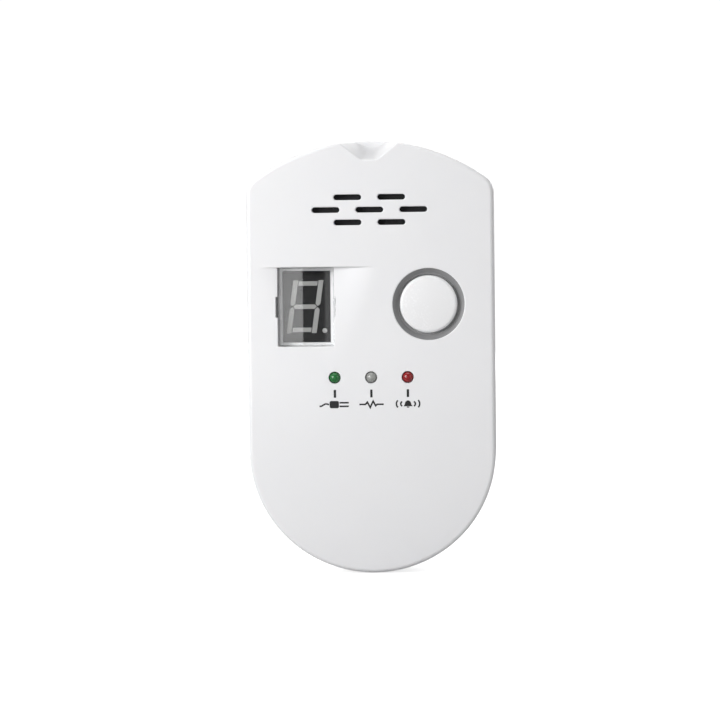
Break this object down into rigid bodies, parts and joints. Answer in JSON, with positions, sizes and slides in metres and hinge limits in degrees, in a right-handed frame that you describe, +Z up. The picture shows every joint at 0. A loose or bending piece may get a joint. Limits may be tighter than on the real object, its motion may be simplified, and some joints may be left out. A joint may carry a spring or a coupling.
{
  "type": "carbon monoxide detector",
  "caption": "White plug-in carbon monoxide detector with a digit window, test button, sounder grille, lights and a two-pin plug on its back.",
  "frame": {"origin": "middle between the two plug pins, on the end face of the plug boss, where the wall socket meets it", "axes": "+Z up along the case towards the grille, +X to the right as seen from the front, +Y along the plug pins into the wall; the front looks along -Y"},
  "size_m": [0.066, 0.0635, 0.116],
  "materials": {
    "housing_plastic": "satin moulded white ABS",
    "button_plastic": "satin moulded white ABS",
    "window_plastic": "clear polished polycarbonate",
    "display_black": "printed dark face",
    "segment_resin": "unlit milky epoxy",
    "green_epoxy": "tinted clear epoxy",
    "milky_epoxy": "unlit diffused epoxy",
    "red_epoxy": "tinted clear epoxy",
    "tinned_wire": "tin plated",
    "nylon": "natural nylon",
    "black_nylon": "black nylon",
    "dark_grey_plastic": "moulded grey",
    "black_cloth": "woven acoustic cloth",
    "brass_disc": "rolled sheet",
    "bakelite": "moulded phenolic",
    "nickel_can": "drawn and nickel plated",
    "steel_gauze": "woven wire gauze",
    "board_laminate": "solder mask over glass laminate",
    "zinc_steel": "zinc plated",
    "ferrite": "sintered",
    "yellow_tape": "polyester tape",
    "capacitor_sleeve": "shrunk vinyl sleeve",
    "yellow_case": "moulded box",
    "ceramic_tan": "fired",
    "varistor_blue": "dipped epoxy",
    "mould_compound": "black epoxy moulding compound",
    "chip_black": "glazed chip",
    "brown_vinyl": "extruded PVC",
    "blue_vinyl": "extruded PVC",
    "shrink_tube": "shrunk polyolefin",
    "nickel_brass": "nickel plated brass",
    "label_foil": "silver polyester label"
  },
  "bodies": {
    "case": {"front_cover": "housing_plastic", "rear_cover": "housing_plastic", "case_screws": "zinc_steel", "rating_label": "label_foil", "display_window": "window_plastic", "display_frame": "housing_plastic", "display_body": "display_black", "display_segments": "segment_resin", "display_pins": "tinned_wire", "switch_body": "dark_grey_plastic", "power_led": "green_epoxy", "state_led": "milky_epoxy", "alarm_led": "red_epoxy", "led_leads": "tinned_wire", "led_spacers": "nylon", "grille_cloth": "black_cloth", "sounder_body": "black_nylon", "sounder_disc": "brass_disc", "sounder_pins": "tinned_wire", "sensor_base": "bakelite", "sensor_can": "nickel_can", "sensor_gauze": "steel_gauze", "sensor_pins": "tinned_wire", "main_board": "board_laminate", "board_screws": "zinc_steel", "transformer_core": "ferrite", "transformer_coil": "yellow_tape", "bulk_capacitor": "capacitor_sleeve", "capacitor_wires": "tinned_wire", "filter_capacitor": "yellow_case", "fuse": "ceramic_tan", "fuse_wires": "tinned_wire", "varistor": "varistor_blue", "bridge_rectifier": "mould_compound", "controller_chip": "mould_compound", "controller_legs": "tinned_wire", "output_capacitor": "capacitor_sleeve", "regulator": "mould_compound", "resistors": "chip_black", "ceramic_capacitors": "ceramic_tan", "live_lead": "brown_vinyl", "neutral_lead": "blue_vinyl", "lead_sleeves": "shrink_tube", "left_plug_pin": "nickel_brass", "right_plug_pin": "nickel_brass", "pin_clamp": "dark_grey_plastic", "clamp_screw": "zinc_steel"},
    "button": {"test_button": "button_plastic", "switch_plunger": "black_nylon"}
  },
  "joints": [
    {"name": "button_press", "type": "slide", "parent": "case", "child": "button", "axis": [0, 1, 0], "range_m": [0, 0.001], "stiffness_N_per_m": 1500, "springref_m": -0.0005}
  ]
}
